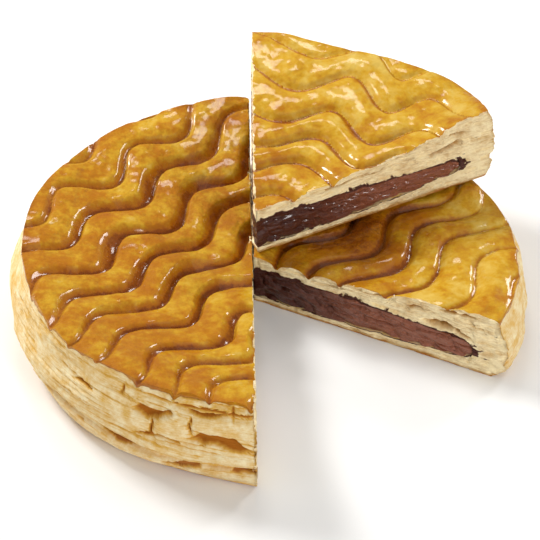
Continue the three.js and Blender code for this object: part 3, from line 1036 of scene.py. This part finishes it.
def add_filling(sector, galette, colours):
    shares = Shares(sector, "chocolate_cream", FILLING_ROWS, hidden=[0, 1])
    angle = sector.start + shares.round * (sector.end - sector.start)
    out = shares.out * ray_length(sector, angle, FILLING_RADIUS - FILLING_INSET)
    x, y = ray_ends(sector, angle, out)
    z_low, z_high, _ = galette.filling(x, y, sector.filling)
    z = z_low + shares.up * (z_high - z_low)
    baked = np.stack([x, y, z], 1)

    # The knife dragged the cream into long ridges
    drag = z + 0.12 * out + 1.5 * noise(83, out / 20, z / 8)
    ridges = 1 - np.abs(noise(81, out / 9, drag / 2.8))
    smear = 1.5 * ridges**3 + 0.9 * noise(82, out / 5, drag / 1.3) - 0.2
    smear = np.maximum(smear, -0.3) * smoothstep(out, 0, 3) * shares.cut
    smear = smear - leaning(sector, shares, out, z)
    places = baked.copy()
    sink_cut(places, angle, np.where(shares.first, 1, -1) * smear)
    attributes = {
        "baked_at": baked * MM,
        "layers": layer_vectors(out, drag, CREAM_STRETCH),
        "milkiness": smoothstep(out / FILLING_RADIUS, 0.1, 0.75),
    }
    materials = [material_of(chocolate, colours)]
    piece = finish_piece(sector, shares, places, attributes, materials, "chocolate")
    return piece


def add_pieces(context, adder):
    """Adds one layer of the half, the third and the slice."""
    galette = Galette(context.scene.galette_sizes)
    for sector in sectors():
        piece = adder(sector, galette, context.scene.galette_colours)
        if not piece.data.polygons:
            raise RuntimeError(f"{piece.name} came out empty")
    return {"FINISHED"}


class GALETTE_OT_top_pastry(bpy.types.Operator):
    """Add the scored and glazed top pastry of each cut piece"""

    bl_idname = "galette.top_pastry"
    bl_label = "Top pastry"

    def execute(self, context):
        return add_pieces(context, add_top_pastry)


class GALETTE_OT_filling(bpy.types.Operator):
    """Add the chocolate of each cut piece"""

    bl_idname = "galette.filling"
    bl_label = "Chocolate"

    def execute(self, context):
        return add_pieces(context, add_filling)


class GALETTE_OT_bottom_pastry(bpy.types.Operator):
    """Add the bottom pastry of each cut piece"""

    bl_idname = "galette.bottom_pastry"
    bl_label = "Bottom pastry"

    def execute(self, context):
        return add_pieces(context, add_bottom_pastry)


# ---- the stage ----

FLOOR_SIZE = 6  # metres
CAMERA_AT = Vector((-12.25, -506.1, 434.0))
CAMERA_TOWARDS = Vector((0.25, -5.07, 20))
LENS_MM = 88.71
SENSOR_MM = 36
NEAR_CLIP, FAR_CLIP = 0.01, 50  # metres
# Softboxes: name, where it stands in metres, width, depth, watts
LIGHTS = [
    ("Key softbox", (-0.78, 0.62, 0.8), 0.36, 0.36, 14),
    ("Right softbox", (0.85, 0.75, 0.65), 0.3, 0.3, 5),
    ("Back softbox", (-0.1, 0.7, 1.25), 0.34, 0.3, 3),
    ("Left fill", (-1.3, -0.5, 0.35), 1.0, 0.7, 3.1),
    ("Front fill", (0.75, -1.1, 0.55), 0.4, 0.3, 7.5),
    ("Top fill", (0.1, -0.5, 1.4), 1.2, 1.2, 2.5),
]
WORLD_STRENGTH = 0.28


def studio_floor():
    """White painted boards: a bright matt ground that mirrors nothing."""
    material, tree = new_material("White studio floor")
    # Slight unevenness of the paint, 25 mm across
    grain = node(tree, "TexNoise", {"Scale": cells(25), "Detail": 2})
    roughness = node(tree, "MapRange", {"Value": grain, "To Min": 0.75, "To Max": 0.85})
    paint = {"Base Color": linear("F4F3F1"), "Roughness": roughness, "IOR": 1.3}
    node(tree, "OutputMaterial", {"Surface": node(tree, "BsdfPrincipled", paint)})
    return material


def facing(direction):
    """The rotation of a light or a camera that looks along a direction."""
    return direction.to_track_quat("-Z", "Y").to_euler()


class GALETTE_OT_stage(bpy.types.Operator):
    """Add the floor, the light and the camera"""

    bl_idname = "galette.stage"
    bl_label = "Stage"

    def execute(self, context):
        deselect_all()
        bpy.ops.mesh.primitive_plane_add(size=FLOOR_SIZE, location=(0, 0, 0))
        floor = context.active_object
        floor.name = floor.data.name = "floor"
        floor.data.materials.append(studio_floor())

        for name, place, width, depth, watts in LIGHTS:
            deselect_all()
            bpy.ops.object.light_add(type="AREA", location=place)
            light = context.active_object
            light.name = light.data.name = name
            light.data.shape = "RECTANGLE"
            light.data.size, light.data.size_y = width, depth
            light.data.energy = watts
            light.rotation_euler = facing(-Vector(place))

        world = bpy.data.worlds.new("White studio")
        world.use_nodes = True
        tree = world.node_tree
        tree.nodes.clear()
        sky = {"Color": linear("FFFDFA"), "Strength": WORLD_STRENGTH}
        node(tree, "OutputWorld", {"Surface": node(tree, "Background", sky)})
        context.scene.world = world
        context.scene.view_settings.view_transform = "Standard"

        deselect_all()
        bpy.ops.object.camera_add(location=CAMERA_AT * MM)
        camera = context.active_object
        camera.data.sensor_width = SENSOR_MM
        camera.data.lens = LENS_MM
        camera.data.clip_start, camera.data.clip_end = NEAR_CLIP, FAR_CLIP
        camera.rotation_euler = facing(CAMERA_TOWARDS - CAMERA_AT)
        context.scene.camera = camera
        return {"FINISHED"}


class GALETTE_PT_panel(bpy.types.Panel):
    bl_idname = "GALETTE_PT_panel"
    bl_label = "Galette des rois"
    bl_space_type = "VIEW_3D"
    bl_region_type = "UI"
    bl_category = "Galette"

    def draw(self, context):
        for group in (context.scene.galette_sizes, context.scene.galette_colours):
            box = self.layout.box()
            for name in group.__annotations__:
                box.prop(group, name)
        for operator in OPERATORS:
            self.layout.operator(operator.bl_idname)


OPERATORS = (
    GALETTE_OT_stage,
    GALETTE_OT_bottom_pastry,
    GALETTE_OT_filling,
    GALETTE_OT_top_pastry,
)
CLASSES = (GaletteSizes, GaletteColours, *OPERATORS, GALETTE_PT_panel)


def register():
    for registered in CLASSES:
        bpy.utils.register_class(registered)
    bpy.types.Scene.galette_sizes = bpy.props.PointerProperty(type=GaletteSizes)
    bpy.types.Scene.galette_colours = bpy.props.PointerProperty(type=GaletteColours)


def unregister():
    del bpy.types.Scene.galette_colours
    del bpy.types.Scene.galette_sizes
    for registered in reversed(CLASSES):
        bpy.utils.unregister_class(registered)


def main():
    register()
    bpy.ops.galette.stage()
    bpy.ops.galette.bottom_pastry()
    bpy.ops.galette.filling()
    bpy.ops.galette.top_pastry()


if __name__ == "__main__":
    main()
